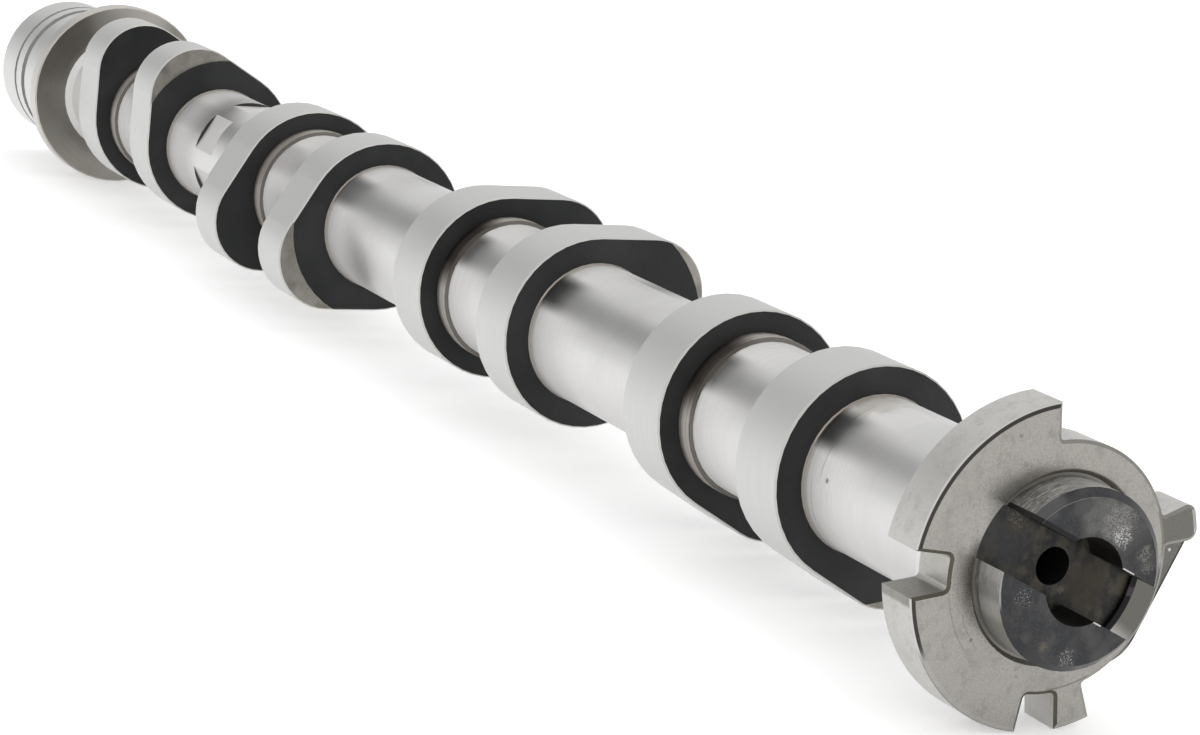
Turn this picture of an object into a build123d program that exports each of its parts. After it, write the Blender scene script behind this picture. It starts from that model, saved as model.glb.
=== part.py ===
from build123d import *
from math import cos, radians, sin, tan
import os

os.makedirs("parts", exist_ok=True)

# Camshaft for eight valves in line: a one-piece shaft with its cams, thrust
# flange, grooved end journal and slotted drive end, and a sintered trigger
# wheel pressed onto the drive end.
# X runs along the axis towards the drive end and Z is up. The origin is on the
# axis, where the end journal meets the thrust flange. Angles are in degrees
# from +Y towards +Z, seen from the drive end. Lengths are in millimetres.

# Cams, one pair for each cylinder, counted from the thrust flange
cylinder_pitch = 84.0
cam_pitch = 33.1
cam_width = 11.0
cam_base_diameter = 31.0
cam_lift = 5.45
cam_flank_angle = 60.0
cam_edge = 0.25
nose_angles = (120.0, 210.0, 30.0, 300.0)

# Skim cut on the noses, on the faces that look out of each pair
skim_diameters = (34.4, 34.8, 38.6, 37.0)
skim_depth = 0.4

# Shaft between the cams
shaft_diameter = 22.4
journal_diameter = 23.0
neck_diameter = 24.3
neck_length = 3.0
cam_root_edge = 0.2
spanner_across_flats = 21.0
spanner_length = 9.0
spanner_sides = 6
spanner_flat_angle = 30.0

# Thrust flange and end journal
flange_to_cam = 18.1
flange_diameter = 38.8
flange_thickness = 4.0
flange_edge = 0.3
flange_root_edge = 1.2
end_journal_diameter = 30.8
end_journal_length = 34.3
end_journal_edge = 1.0
wide_groove_at = 18.3
wide_groove_width = 2.4
wide_groove_depth = 1.6
thin_groove_at = 23.8
thin_groove_width = 1.3
thin_groove_depth = 1.0
relief_width = 0.8
relief_depth = 0.3

# Bolt bore and dowel hole in the timing end
drill_point_angle = 118.0
bolt_bore_diameter = 10.8
bolt_bore_depth = 28.0
bolt_bore_mouth = 0.8
dowel_diameter = 5.0
dowel_depth = 8.0
dowel_circle_diameter = 22.0
dowel_angle = 90.0

# Drive end
cam_to_wheel = 36.2
shoulder_diameter = 28.0
shoulder_length = 3.75
seat_diameter = 24.5
seat_setback = 0.6
hub_diameter = 23.7
hub_standout = 5.7
hub_edge = 1.0
slot_width = 7.4
slot_depth = 6.8
slot_angle = -25.1
slot_recess_diameter = 11.5
oil_hole_diameter = 5.0
oil_hole_depth = 30.0

# Trigger wheel, with two narrow notches and two wide windows around its rim
wheel_thickness = 6.85
wheel_diameter = 43.0
wheel_bore_clearance = 0.0
wheel_bore_edge = 0.5
wheel_front_edge = 0.65
wheel_gap_edge = 0.45
wheel_edge_depth = 0.25
wheel_back_edge = 0.3
notch_angles = (180.5, 270.4)
notch_sweep = 16.0
notch_root_diameters = (32.3, 33.0)
notch_corner = 0.7
window_angles = (59.9, 330.6)
window_sweeps = (75.0, 76.0)
window_root_diameter = 33.0
window_corner = 0.5
rounded_tooth_angle = 15.5
rounded_tooth_corner = 1.4

# Web beside the rounded tooth: a straight edge that faces along web_edge_angle
web_edge_angle = 335.6
web_reach = 17.3
web_start_angle = 370.6
web_corner_angle = 317.0
web_foot_angle = 304.0
web_corner = 6.0
web_setback = 1.2

# Stations along the axis
pair_starts = [flange_thickness + flange_to_cam + k * cylinder_pitch for k in range(len(nose_angles))]
pair_length = cam_pitch + cam_width
last_cam_end = pair_starts[-1] + pair_length
wheel_back = last_cam_end + cam_to_wheel
wheel_front = wheel_back + wheel_thickness
hub_end = wheel_front + hub_standout
slot_floor = hub_end - slot_depth
hair = 0.001


def turned_section(steps):
    """Half outline of a stepped bar; each step is its start, its end and its diameter."""
    corners = [(steps[0][0], 0.0)]
    for start, end, diameter in steps:
        corners += [(start, diameter / 2), (end, diameter / 2)]
    corners.append((steps[-1][1], 0.0))
    return corners


def polar(radius, angle):
    """Point of a cross section."""
    return Vector(radius * cos(radians(angle)), radius * sin(radians(angle)))


def rings(part, station, diameter):
    """Circular edges of a part at one station and one diameter."""
    return part.edges().filter_by(
        lambda edge: edge.geom_type == GeomType.CIRCLE
        and abs(edge.arc_center.X - station) < hair
        and abs(edge.radius - diameter / 2) < hair
    )


def drilled_hole(diameter, depth):
    """Blind hole from X = 0 towards +X, with the cone that a drill's point leaves."""
    radius = diameter / 2
    point_length = radius / tan(radians(drill_point_angle / 2))
    with BuildPart() as hole:
        with BuildSketch(Plane.XZ):
            with BuildLine():
                Polyline((0, 0), (0, radius), (depth, radius), (depth + point_length, 0), close=True)
            make_face()
        revolve(axis=Axis.X)
    return hole.part


# Cam outline with its nose towards +Y: base circle, two straight flanks and the
# nose arc that is tangent to both
base_radius = cam_base_diameter / 2
flank_cosine = cos(radians(cam_flank_angle))
nose_radius = base_radius - cam_lift * flank_cosine / (1 - flank_cosine)
nose_centre = Vector(base_radius + cam_lift - nose_radius, 0)
flank_foot = polar(base_radius, cam_flank_angle)
flank_top = nose_centre + polar(nose_radius, cam_flank_angle)
nose_tip = Vector(base_radius + cam_lift, 0)


def plain_cam(width):
    """One cam from X = 0, with broken edges."""
    with BuildPart() as cam:
        with BuildSketch(Plane.YZ):
            with BuildLine():
                RadiusArc(Vector(-base_radius, 0), flank_foot, base_radius)
                Line(flank_foot, flank_top)
                RadiusArc(flank_top, nose_tip, nose_radius)
                mirror(about=Plane.XZ)
            make_face()
        extrude(amount=width)
        chamfer(cam.edges().filter_by(Axis.X, reverse=True), cam_edge)
    return cam.part


def skimmed_cam(skim_diameter):
    """One cam whose far face stands proud inside the skim circle and is cut back outside it."""
    with BuildPart() as land:
        add(plain_cam(cam_width))
        with BuildSketch(Plane.YZ):
            Circle(skim_diameter / 2)
        extrude(amount=cam_width, mode=Mode.INTERSECT)
    with BuildPart() as cam:
        add(plain_cam(cam_width - skim_depth))
        add(land.part)
    return cam.part


# The bar as it is turned, from the timing end to the drive end
bar_steps = [
    (-end_journal_length, 0.0, end_journal_diameter),
    (0.0, flange_thickness, flange_diameter),
    (flange_thickness, pair_starts[0], journal_diameter),
]
for start in pair_starts:
    neck_end = start + cam_width + neck_length
    bar_steps.append((start, neck_end, neck_diameter))
    bar_steps.append((neck_end, start + pair_length, journal_diameter))
    if start != pair_starts[-1]:
        bar_steps.append((start + pair_length, start + cylinder_pitch, shaft_diameter))
bar_steps += [
    (last_cam_end, wheel_back - shoulder_length, shaft_diameter),
    (wheel_back - shoulder_length, wheel_back, shoulder_diameter),
    (wheel_back, wheel_front - seat_setback, seat_diameter),
    (wheel_front - seat_setback, hub_end, hub_diameter),
]

with BuildPart() as camshaft:
    with BuildSketch(Plane.XZ):
        with BuildLine():
            Polyline(turned_section(bar_steps), close=True)
        make_face()
    revolve(axis=Axis.X)

    # Broken edges of the end journal, the thrust flange and the hub
    chamfer(rings(camshaft, -end_journal_length, end_journal_diameter), end_journal_edge)
    chamfer(rings(camshaft, 0.0, flange_diameter), flange_edge)
    chamfer(rings(camshaft, flange_thickness, flange_diameter), flange_edge)
    chamfer(rings(camshaft, flange_thickness, journal_diameter), flange_root_edge)
    chamfer(rings(camshaft, hub_end, hub_diameter), hub_edge)

    # Grooves around the end journal, and its grinding relief beside the flange
    for groove_at, groove_width, groove_depth in (
        (relief_width / 2, relief_width, relief_depth),
        (wide_groove_at, wide_groove_width, wide_groove_depth),
        (thin_groove_at, thin_groove_width, thin_groove_depth),
    ):
        with BuildSketch(Plane.YZ.offset(-groove_at - groove_width / 2)):
            Circle(end_journal_diameter / 2)
            Circle(end_journal_diameter / 2 - groove_depth, mode=Mode.SUBTRACT)
        extrude(amount=groove_width, mode=Mode.SUBTRACT)

    # Two cams for each cylinder, with their skimmed faces outwards
    for start, nose_angle, skim_diameter in zip(pair_starts, nose_angles, skim_diameters):
        with Locations(Location((start + cam_pitch, 0, 0), (nose_angle, 0, 0))):
            add(skimmed_cam(skim_diameter))
        with Locations(Location((start + cam_width, 0, 0), (nose_angle, 0, 0))):
            add(mirror(skimmed_cam(skim_diameter), about=Plane.YZ, mode=Mode.PRIVATE))

    # Small slope where the plain shaft runs into the outer cam faces
    roots = [start + pair_length for start in pair_starts] + pair_starts[1:]
    for root in roots:
        chamfer(rings(camshaft, root, shaft_diameter), cam_root_edge)

    # Spanner flats midway between the first two pairs
    spanner_middle = (pair_starts[0] + pair_length + pair_starts[1]) / 2
    with BuildSketch(Plane.YZ.offset(spanner_middle - spanner_length / 2)):
        Circle(shaft_diameter)
        RegularPolygon(
            radius=spanner_across_flats / 2,
            side_count=spanner_sides,
            major_radius=False,
            rotation=spanner_flat_angle - 180 / spanner_sides,
            mode=Mode.SUBTRACT,
        )
    extrude(amount=spanner_length, mode=Mode.SUBTRACT)

    # Bolt bore and dowel hole, from the timing end inwards
    with Locations(Location((-end_journal_length, 0, 0))):
        add(drilled_hole(bolt_bore_diameter, bolt_bore_depth), mode=Mode.SUBTRACT)
    chamfer(rings(camshaft, -end_journal_length, bolt_bore_diameter), bolt_bore_mouth)
    dowel_place = polar(dowel_circle_diameter / 2, dowel_angle)
    with Locations(Location((-end_journal_length, dowel_place.X, dowel_place.Y))):
        add(drilled_hole(dowel_diameter, dowel_depth), mode=Mode.SUBTRACT)

    # Drive slot with its round recess, and the oil hole in its floor
    with BuildSketch(Plane.YZ.offset(slot_floor)):
        Rectangle(seat_diameter + slot_width, slot_width, rotation=slot_angle)
        Circle(slot_recess_diameter / 2)
    extrude(amount=slot_depth, mode=Mode.SUBTRACT)
    with Locations(Location((slot_floor, 0, 0), (0, 0, 180))):
        add(drilled_hole(oil_hole_diameter, oil_hole_depth), mode=Mode.SUBTRACT)

# Trigger wheel: a disc with gaps cut into its rim down to their root circles
wheel_radius = wheel_diameter / 2


def rim_gap(root_diameter, sweep, corner):
    """Face of one gap, centred on its plane's first axis: radial flanks and rounded floor corners."""
    with BuildSketch() as gap:
        with BuildLine():
            floor = CenterArc((0, 0), root_diameter / 2, -sweep / 2, sweep)
            mouth = CenterArc((0, 0), wheel_diameter, -sweep / 2, sweep)
            Line(floor @ 0, mouth @ 0)
            Line(floor @ 1, mouth @ 1)
        make_face()
        fillet(gap.vertices().sort_by_distance((0, 0, 0))[:2], corner)
    return gap.sketch


def on_web_edge(angle):
    """Point of the web's straight edge."""
    return polar(web_reach / cos(radians(angle - web_edge_angle)), angle)


with BuildPart() as trigger_wheel:
    with BuildSketch(Plane.YZ.offset(wheel_back)) as rim:
        Circle(wheel_radius)
        for angle, root_diameter in zip(notch_angles, notch_root_diameters):
            add(rim_gap(root_diameter, notch_sweep, notch_corner), rotation=angle, mode=Mode.SUBTRACT)
        for angle, sweep in zip(window_angles, window_sweeps):
            add(rim_gap(window_root_diameter, sweep, window_corner), rotation=angle, mode=Mode.SUBTRACT)
        tips = rim.vertices().filter_by(lambda tip: abs(Vector(tip).length - wheel_radius) < hair)
        fillet(tips.sort_by_distance(polar(wheel_radius, rounded_tooth_angle))[:2], rounded_tooth_corner)
    extrude(amount=wheel_thickness)

    # Broken edges: all around the back, around the gaps in front, then the teeth in front
    chamfer(trigger_wheel.faces().sort_by(Axis.X)[0].outer_wire().edges(), wheel_back_edge)
    front_face = trigger_wheel.faces().sort_by(Axis.X)[-1]
    gap_edges = front_face.outer_wire().edges().filter_by(
        lambda edge: edge.geom_type != GeomType.CIRCLE or abs(edge.radius - wheel_radius) > hair
    )
    chamfer(gap_edges, wheel_gap_edge, length2=wheel_edge_depth, reference=front_face)
    with BuildSketch(Plane.XZ):
        with BuildLine():
            Polyline(
                (wheel_front - wheel_edge_depth, wheel_radius),
                (wheel_front, wheel_radius - wheel_front_edge),
                (wheel_front + wheel_edge_depth, wheel_radius - wheel_front_edge),
                (wheel_front + wheel_edge_depth, wheel_radius + wheel_edge_depth),
                (wheel_front - wheel_edge_depth, wheel_radius + wheel_edge_depth),
                close=True,
            )
        make_face()
    revolve(axis=Axis.X, mode=Mode.SUBTRACT)

    # Web, set back from the front face
    with BuildSketch(Plane.YZ.offset(wheel_back)) as web:
        with BuildLine():
            Polyline(
                Vector(0, 0),
                polar(window_root_diameter / 2, web_foot_angle),
                on_web_edge(web_corner_angle),
                on_web_edge(web_start_angle),
                close=True,
            )
        make_face()
        fillet(web.vertices().sort_by_distance(on_web_edge(web_corner_angle))[0], web_corner)
    extrude(amount=wheel_thickness - web_setback)

    # Bore for the press seat
    bore_diameter = seat_diameter + 2 * wheel_bore_clearance
    with BuildSketch(Plane.YZ.offset(wheel_back)):
        Circle(bore_diameter / 2)
    extrude(amount=wheel_thickness, mode=Mode.SUBTRACT)
    chamfer(rings(trigger_wheel, wheel_back, bore_diameter), wheel_bore_edge)
    chamfer(rings(trigger_wheel, wheel_front, bore_diameter), wheel_bore_edge)

camshaft.part.label = "camshaft"
export_step(camshaft.part, "parts/camshaft.step")
trigger_wheel.part.label = "trigger_wheel"
export_step(trigger_wheel.part, "parts/trigger_wheel.step")
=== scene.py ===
"""Dresses the camshaft: the finish of each surface of its shaft and its wheel, and the studio round it."""

import sys

import logging
import math
from dataclasses import dataclass
from enum import Enum

import bpy
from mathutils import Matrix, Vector


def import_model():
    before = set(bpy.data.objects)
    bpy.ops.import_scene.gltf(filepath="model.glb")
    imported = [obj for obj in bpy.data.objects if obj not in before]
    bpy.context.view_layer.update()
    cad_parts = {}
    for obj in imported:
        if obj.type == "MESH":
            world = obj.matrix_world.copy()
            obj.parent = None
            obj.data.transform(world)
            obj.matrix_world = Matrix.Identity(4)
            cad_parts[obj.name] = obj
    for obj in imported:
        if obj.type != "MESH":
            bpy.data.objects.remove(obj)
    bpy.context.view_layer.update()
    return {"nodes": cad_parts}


log = logging.getLogger("camshaft")

MM = 0.001

Socket = bpy.types.NodeSocket
Colour = tuple[float, float, float]


class Zone(Enum):
    """Surfaces of the shaft and the wheel that have a finish of their own."""

    CAM_LAND = "cam_land"
    CAM_SIDE = "cam_side"
    CAM_EDGE = "cam_edge"
    SKIMMED = "skimmed_nose"
    JOURNAL = "ground_journal"
    NECK = "tinted_neck"
    HEXAGON = "milled_flats"
    FLAT_WALL = "flat_end_wall"
    FLANGE = "thrust_flange"
    FLANGE_EDGE = "flange_edge"
    FLANGE_RIM = "flange_rim"
    END_JOURNAL = "end_journal"
    GROOVE = "oil_groove"
    TIMING_FACE = "timing_face"
    BOLT_BORE = "tapped_bore"
    OIL_HOLE = "oil_hole"
    HUB_SIDE = "turned_hub"
    HUB_EDGE = "blued_edge"
    HUB_FACE = "blued_face"
    SLOT = "slot"
    RECESS = "recess_wall"
    SEAT_END = "seat_end"
    WHEEL_FACE = "sintered_face"
    WHEEL_RIM = "sintered_rim"
    TOOTH_EDGE = "tooth_edge"
    GAP_EDGE = "gap_edge"
    SHADED_WEB = "web_face"
    WHEEL_BORE = "wheel_bore"


@dataclass(frozen=True)
class ShaftSizes:
    """Stations, diameters and lengths that part the zones, in metres, and the slot's angle in degrees."""

    first_cam: float = 22.1 * MM
    cylinder_pitch: float = 84.0 * MM
    cylinders: int = 4
    cam_pitch: float = 33.1 * MM
    cam_width: float = 11.0 * MM
    cam_base: float = 31.0 * MM
    skim_depth: float = 0.4 * MM
    journal: float = 23.0 * MM
    shaft: float = 22.4 * MM
    neck: float = 24.3 * MM
    neck_length: float = 3.0 * MM
    spanner_length: float = 9.0 * MM
    flange: float = 38.8 * MM
    flange_thickness: float = 4.0 * MM
    end_journal: float = 30.8 * MM
    end_journal_length: float = 34.3 * MM
    bolt_bore: float = 10.8 * MM
    wheel_back: float = 354.4 * MM
    wheel_front: float = 361.25 * MM
    wheel: float = 43.0 * MM
    wheel_front_edge: float = 0.65 * MM
    web_setback: float = 1.2 * MM
    wheel_bore: float = 24.5 * MM
    hub_end: float = 366.95 * MM
    hub: float = 23.7 * MM
    slot_floor: float = 360.15 * MM
    slot_angle: float = -25.1

    @property
    def cam_starts(self) -> list[float]:
        """Stations where the eight cams begin."""
        pairs = [self.first_cam + k * self.cylinder_pitch for k in range(self.cylinders)]
        return [start for pair in pairs for start in (pair, pair + self.cam_pitch)]

    @property
    def last_cam_end(self) -> float:
        """Station where the last cam ends."""
        return self.cam_starts[-1] + self.cam_width

    @property
    def neck_end(self) -> float:
        """Station where the first neck meets its journal."""
        return self.first_cam + self.cam_width + self.neck_length

    @property
    def spanner_middle(self) -> float:
        """Station of the middle of the spanner flats."""
        pair_end = self.first_cam + self.cam_pitch + self.cam_width
        return (pair_end + self.first_cam + self.cylinder_pitch) / 2


SIZES = ShaftSizes()


class Nodes:
    """A node tree, with short makers for the nodes that the finishes and the studio share."""

    def __init__(self, tree: bpy.types.NodeTree) -> None:
        """Takes up a node tree.

        Args:
            tree: The tree.
        """
        self.tree = tree

    def node(self, kind: str, **settings: object) -> bpy.types.Node:
        """Adds a node.

        Args:
            kind: The node's type.
            **settings: Properties to set on it.

        Returns:
            The new node.
        """
        made = self.tree.nodes.new(kind)
        for key, value in settings.items():
            setattr(made, key, value)
        return made

    def join(self, source: Socket | float | Colour | Vector, target: Socket) -> None:
        """Feeds a socket from another socket or from a plain value.

        Args:
            source: The socket or the value.
            target: The input that takes it.
        """
        if isinstance(source, bpy.types.NodeSocket):
            self.tree.links.new(source, target)
        elif target.type == "RGBA" and not isinstance(source, float):
            target.default_value = (*source, 1.0)
        else:
            target.default_value = source

    def feed(self, made: bpy.types.Node, *sources: Socket | float) -> Socket:
        """Feeds a node's inputs in their order.

        Args:
            made: The node.
            *sources: What its first inputs take.

        Returns:
            The node's first output.
        """
        for source, target in zip(sources, made.inputs):
            self.join(source, target)
        return made.outputs[0]

    def math(self, operation: str, first: Socket | float, second: Socket | float = 0.0) -> Socket:
        """Works out one number.

        Args:
            operation: The Math node's operation.
            first: The first operand.
            second: The second operand.

        Returns:
            The result's socket.
        """
        return self.feed(self.node("ShaderNodeMath", operation=operation), first, second)

    def span(self, value: Socket, low: float, high: float, start: float = 0.0, end: float = 1.0) -> Socket:
        """Maps a stretch of a value smoothly onto another, and holds it at both ends.

        Args:
            value: The value that is mapped.
            low: The value that gives start.
            high: The value that gives end.
            start: The result at low.
            end: The result at high.

        Returns:
            The result's socket.
        """
        made = self.node("ShaderNodeMapRange", interpolation_type="SMOOTHSTEP")
        return self.feed(made, value, low, high, start, end)

    def mixed(self, share: Socket, first: Socket, second: Socket) -> Socket:
        """Mixes two shaders.

        Args:
            share: How much of the second shows.
            first: The first shader.
            second: The second shader.

        Returns:
            The mixed shader's socket.
        """
        return self.feed(self.node("ShaderNodeMixShader"), share, first, second)

    def light(self, kind: str, strength: Socket | float) -> Socket:
        """Makes a shader that gives white light.

        Args:
            kind: The node's type.
            strength: How strong its light is.

        Returns:
            The shader's socket.
        """
        made = self.node(kind)
        self.join((1.0, 1.0, 1.0), made.inputs["Color"])
        self.join(strength, made.inputs["Strength"])
        return made.outputs[0]


class Shader(Nodes):
    """A material with one Principled shader, and the patterns that its finish is made of."""

    # Places of the sockets of a Mix node that mixes colours.
    mix_share: int = 0
    mix_under: int = 6
    mix_over: int = 7
    mix_result: int = 2

    def __init__(self, name: str) -> None:
        """Starts the material.

        Args:
            name: The material's name.
        """
        self.material = bpy.data.materials.new(name)
        self.material.use_nodes = True
        super().__init__(self.material.node_tree)
        self.surface = self.tree.nodes["Principled BSDF"]
        self.place = self.node("ShaderNodeTexCoord").outputs["Object"]
        split = self.node("ShaderNodeSeparateXYZ")
        self.join(self.place, split.inputs[0])
        self.along, self.across, self.up = split.outputs

    def radius(self) -> Socket:
        """Distance from the shaft's axis."""
        squares = self.math("ADD", self.math("POWER", self.across, 2.0), self.math("POWER", self.up, 2.0))
        return self.math("SQRT", squares)

    def around(self) -> Socket:
        """Angle about the shaft's axis, in radians from +Y towards +Z."""
        return self.math("ARCTAN2", self.up, self.across)

    def vector(self, x: Socket | float, y: Socket | float, z: Socket | float) -> Socket:
        """Joins three numbers to a vector.

        Args:
            x: The first number.
            y: The second number.
            z: The third number.

        Returns:
            The vector's socket.
        """
        return self.feed(self.node("ShaderNodeCombineXYZ"), x, y, z)

    def noise(
        self, scale: float, detail: float = 2.0, at: Socket | None = None, rough: float = 0.5
    ) -> Socket:
        """Makes smooth noise.

        Args:
            scale: Grains per metre, or per unit of the place given.
            detail: Octaves.
            at: The place to read instead of Object coordinates.
            rough: How strong the finer octaves are.

        Returns:
            The noise's value socket, about 0.5 in the middle.
        """
        made = self.node("ShaderNodeTexNoise")
        self.join(self.place if at is None else at, made.inputs["Vector"])
        made.inputs["Scale"].default_value = scale
        made.inputs["Detail"].default_value = detail
        made.inputs["Roughness"].default_value = rough
        return made.outputs[0]

    def blend(self, share: Socket | float, under: Socket | Colour, over: Socket | Colour) -> Socket:
        """Mixes two colours.

        Args:
            share: How much of the second shows.
            under: The first colour.
            over: The second colour.

        Returns:
            The mixed colour's socket.
        """
        made = self.node("ShaderNodeMix", data_type="RGBA")
        self.join(share, made.inputs[self.mix_share])
        self.join(under, made.inputs[self.mix_under])
        self.join(over, made.inputs[self.mix_over])
        return made.outputs[self.mix_result]

    def bump(self, height: Socket, depth: float) -> None:
        """Gives the surface a relief.

        Args:
            height: The relief, from 0 to 1.
            depth: Its depth in metres.
        """
        made = self.node("ShaderNodeBump")
        made.inputs["Distance"].default_value = depth
        self.join(height, made.inputs["Height"])
        self.join(made.outputs[0], self.surface.inputs["Normal"])

    def toward(self, angle: float) -> Socket:
        """Finds how far a point lies from the axis towards one side.

        Args:
            angle: The side, in degrees from +Y towards +Z.

        Returns:
            The distance's socket, below 0 on the other side.
        """
        turn = math.radians(angle)
        return self.math(
            "ADD",
            self.math("MULTIPLY", self.across, math.cos(turn)),
            self.math("MULTIPLY", self.up, math.sin(turn)),
        )

    def sector(self, middle: float, half: float, fade: float = 8.0) -> Socket:
        """Marks out a sector about the axis, with soft edges.

        Args:
            middle: The sector's middle, in degrees from +Y towards +Z.
            half: Half its sweep in degrees.
            fade: How far beyond it the result falls to 0, in degrees.

        Returns:
            A socket that is 1 inside the sector and 0 outside it.
        """
        lean = self.math("DIVIDE", self.toward(middle), self.radius())
        return self.span(lean, math.cos(math.radians(half + fade)), math.cos(math.radians(half)))

    def marked(self, colour: Socket | Colour, marks: "tuple[Mark, ...]") -> Socket | Colour:
        """Lays marks over a colour, one after another.

        Args:
            colour: The colour under them.
            marks: The marks.

        Returns:
            The colour with the marks.
        """
        for mark in marks:
            colour = self.blend(mark.share_on(self), colour, mark.colour)
        return colour

    def grain_round(self, strength: float) -> None:
        """Stretches the gloss as lathe and grinding lines round the axis do.

        Args:
            strength: The anisotropy, from 0 to 1.
        """
        turn = self.node("ShaderNodeVectorMath", operation="CROSS_PRODUCT")
        self.join(Vector((1.0, 0.0, 0.0)), turn.inputs[0])
        self.join(self.place, turn.inputs[1])
        self.join(turn.outputs[0], self.surface.inputs["Tangent"])
        self.surface.inputs["Anisotropic"].default_value = strength

    def finish(
        self, colour: Socket | Colour, roughness: Socket | float, metal: Socket | float
    ) -> bpy.types.Material:
        """Sets the main inputs of the shader.

        Args:
            colour: Its colour.
            roughness: Its roughness.
            metal: How metallic it is.

        Returns:
            The finished material.
        """
        self.join(colour, self.surface.inputs["Base Color"])
        self.join(roughness, self.surface.inputs["Roughness"])
        self.join(metal, self.surface.inputs["Metallic"])
        return self.material


@dataclass(frozen=True)
class Mark:
    """A stain, a line, a worn place, or a painted shadow, reflection or highlight: its colour and how much
    of it shows.
    """

    colour: Colour
    share: float

    def share_on(self, s: Shader) -> Socket:
        """Gives how much of the mark shows at each point.

        Args:
            s: The shader that the mark is laid on.

        Returns:
            The share's socket, from 0 to 1.
        """
        raise NotImplementedError


@dataclass(frozen=True)
class Ring(Mark):
    """A line or tint round the axis, on an arc or all the way round, once or at each cylinder."""

    station: float = 0.0
    width: float = 0.2 * MM
    soft: float = 0.1 * MM
    middle: float = 0.0
    half: float = 180.0
    every: float = 0.0

    def share_on(self, s: Shader) -> Socket:
        """Gives how much of the ring shows.

        Args:
            s: The shader that the mark is laid on.

        Returns:
            The share's socket, from 0 to 1.
        """
        if self.every:
            shifted = s.math("ADD", s.along, self.every / 2 - self.station)
            offset = s.math("SUBTRACT", s.math("FLOORED_MODULO", shifted, self.every), self.every / 2)
        else:
            offset = s.math("SUBTRACT", s.along, self.station)
        away = s.math("ABSOLUTE", offset)
        share = s.span(away, self.width / 2 + self.soft, self.width / 2, 0.0, self.share)
        if self.half < 180.0:
            share = s.math("MULTIPLY", share, s.sector(self.middle, self.half))
        return share


@dataclass(frozen=True)
class Arc(Mark):
    """A band on a face across the axis, between two distances from it."""

    inner: float = 0.0
    outer: float = 1.0 * MM
    soft: float = 0.06 * MM
    middle: float = 0.0
    half: float = 180.0
    fade: float = 6.0

    def share_on(self, s: Shader) -> Socket:
        """Gives how much of the band shows.

        Args:
            s: The shader that the mark is laid on.

        Returns:
            The share's socket, from 0 to 1.
        """
        reach = s.radius()
        inside = s.span(reach, self.outer + self.soft, self.outer, 0.0, self.share)
        share = s.math("MULTIPLY", s.span(reach, self.inner - self.soft, self.inner), inside)
        if self.half < 180.0:
            share = s.math("MULTIPLY", share, s.sector(self.middle, self.half, self.fade))
        return share


@dataclass(frozen=True)
class Straight(Mark):
    """A line along a straight edge, at one distance from the axis and between two ends."""

    facing: float = 0.0
    reach: float = 1.0 * MM
    width: float = 0.2 * MM
    start: float = -1.0
    end: float = 1.0
    soft: float = 0.06 * MM

    def share_on(self, s: Shader) -> Socket:
        """Gives how much of the line shows.

        Args:
            s: The shader that the mark is laid on.

        Returns:
            The share's socket, from 0 to 1.
        """
        away = s.math("ABSOLUTE", s.math("SUBTRACT", s.toward(self.facing), self.reach))
        run = s.toward(self.facing - 90.0)
        share = s.span(away, self.width / 2 + self.soft, self.width / 2, 0.0, self.share)
        share = s.math("MULTIPLY", share, s.span(run, self.start - self.soft, self.start + self.soft))
        return s.math("MULTIPLY", share, s.span(run, self.end + self.soft, self.end - self.soft))


@dataclass(frozen=True)
class Spot(Mark):
    """A ragged patch about a place, whole or broken up into specks."""

    place: tuple[float, float, float] = (0.0, 0.0, 0.0)
    size: float = 1.0 * MM
    ragged: float = 0.8
    specks: float = 0.0
    bare: float = 0.5
    lumps: float = 2.5
    core: float = 0.35
    speck_rough: float = 0.6

    def share_on(self, s: Shader) -> Socket:
        """Gives how much of the patch shows.

        Args:
            s: The shader that the mark is laid on.

        Returns:
            The share's socket, from 0 to 1.
        """
        away = s.node("ShaderNodeVectorMath", operation="DISTANCE")
        s.join(s.place, away.inputs[0])
        s.join(Vector(self.place), away.inputs[1])
        uneven = s.math("SUBTRACT", s.noise(self.lumps / self.size, 3.0), 0.5)
        edge = s.math("MULTIPLY", uneven, self.ragged * self.size * 2)
        reach = s.math("ADD", away.outputs["Value"], edge)
        share = s.span(reach, self.size, self.size * self.core, 0.0, self.share)
        if self.specks:
            grain = s.noise(1.0 / self.specks, 2.0, rough=self.speck_rough)
            share = s.math("MULTIPLY", share, s.span(grain, self.bare - 0.04, self.bare + 0.06))
        return share


@dataclass(frozen=True)
class Streaks(Mark):
    """Short broken lines round the axis, as a worn tool leaves them."""

    pitch: float = 0.2 * MM
    breaks: float = 8.0
    bare: float = 0.5
    middle: float = 0.0
    half: float = 20.0
    fade: float = 10.0

    def share_on(self, s: Shader) -> Socket:
        """Gives how much of the lines shows.

        Args:
            s: The shader that the mark is laid on.

        Returns:
            The share's socket, from 0 to 1.
        """
        place = s.vector(
            s.math("MULTIPLY", s.along, 1.0 / self.pitch),
            s.math("MULTIPLY", s.around(), self.breaks),
            0.0,
        )
        broken = s.noise(1.0, 2.0, place, rough=0.6)
        lines = s.span(broken, self.bare - 0.05, self.bare + 0.08, 0.0, self.share)
        return s.math("MULTIPLY", lines, s.sector(self.middle, self.half, self.fade))


def on_shaft(station: float, angle: float, reach: float) -> tuple[float, float, float]:
    """Finds a place from its station, its angle about the axis and its distance from it.

    Args:
        station: How far along the axis.
        angle: Degrees from +Y towards +Z.
        reach: How far from the axis.

    Returns:
        The place, in metres.
    """
    turn = math.radians(angle)
    return station, reach * math.cos(turn), reach * math.sin(turn)


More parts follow.
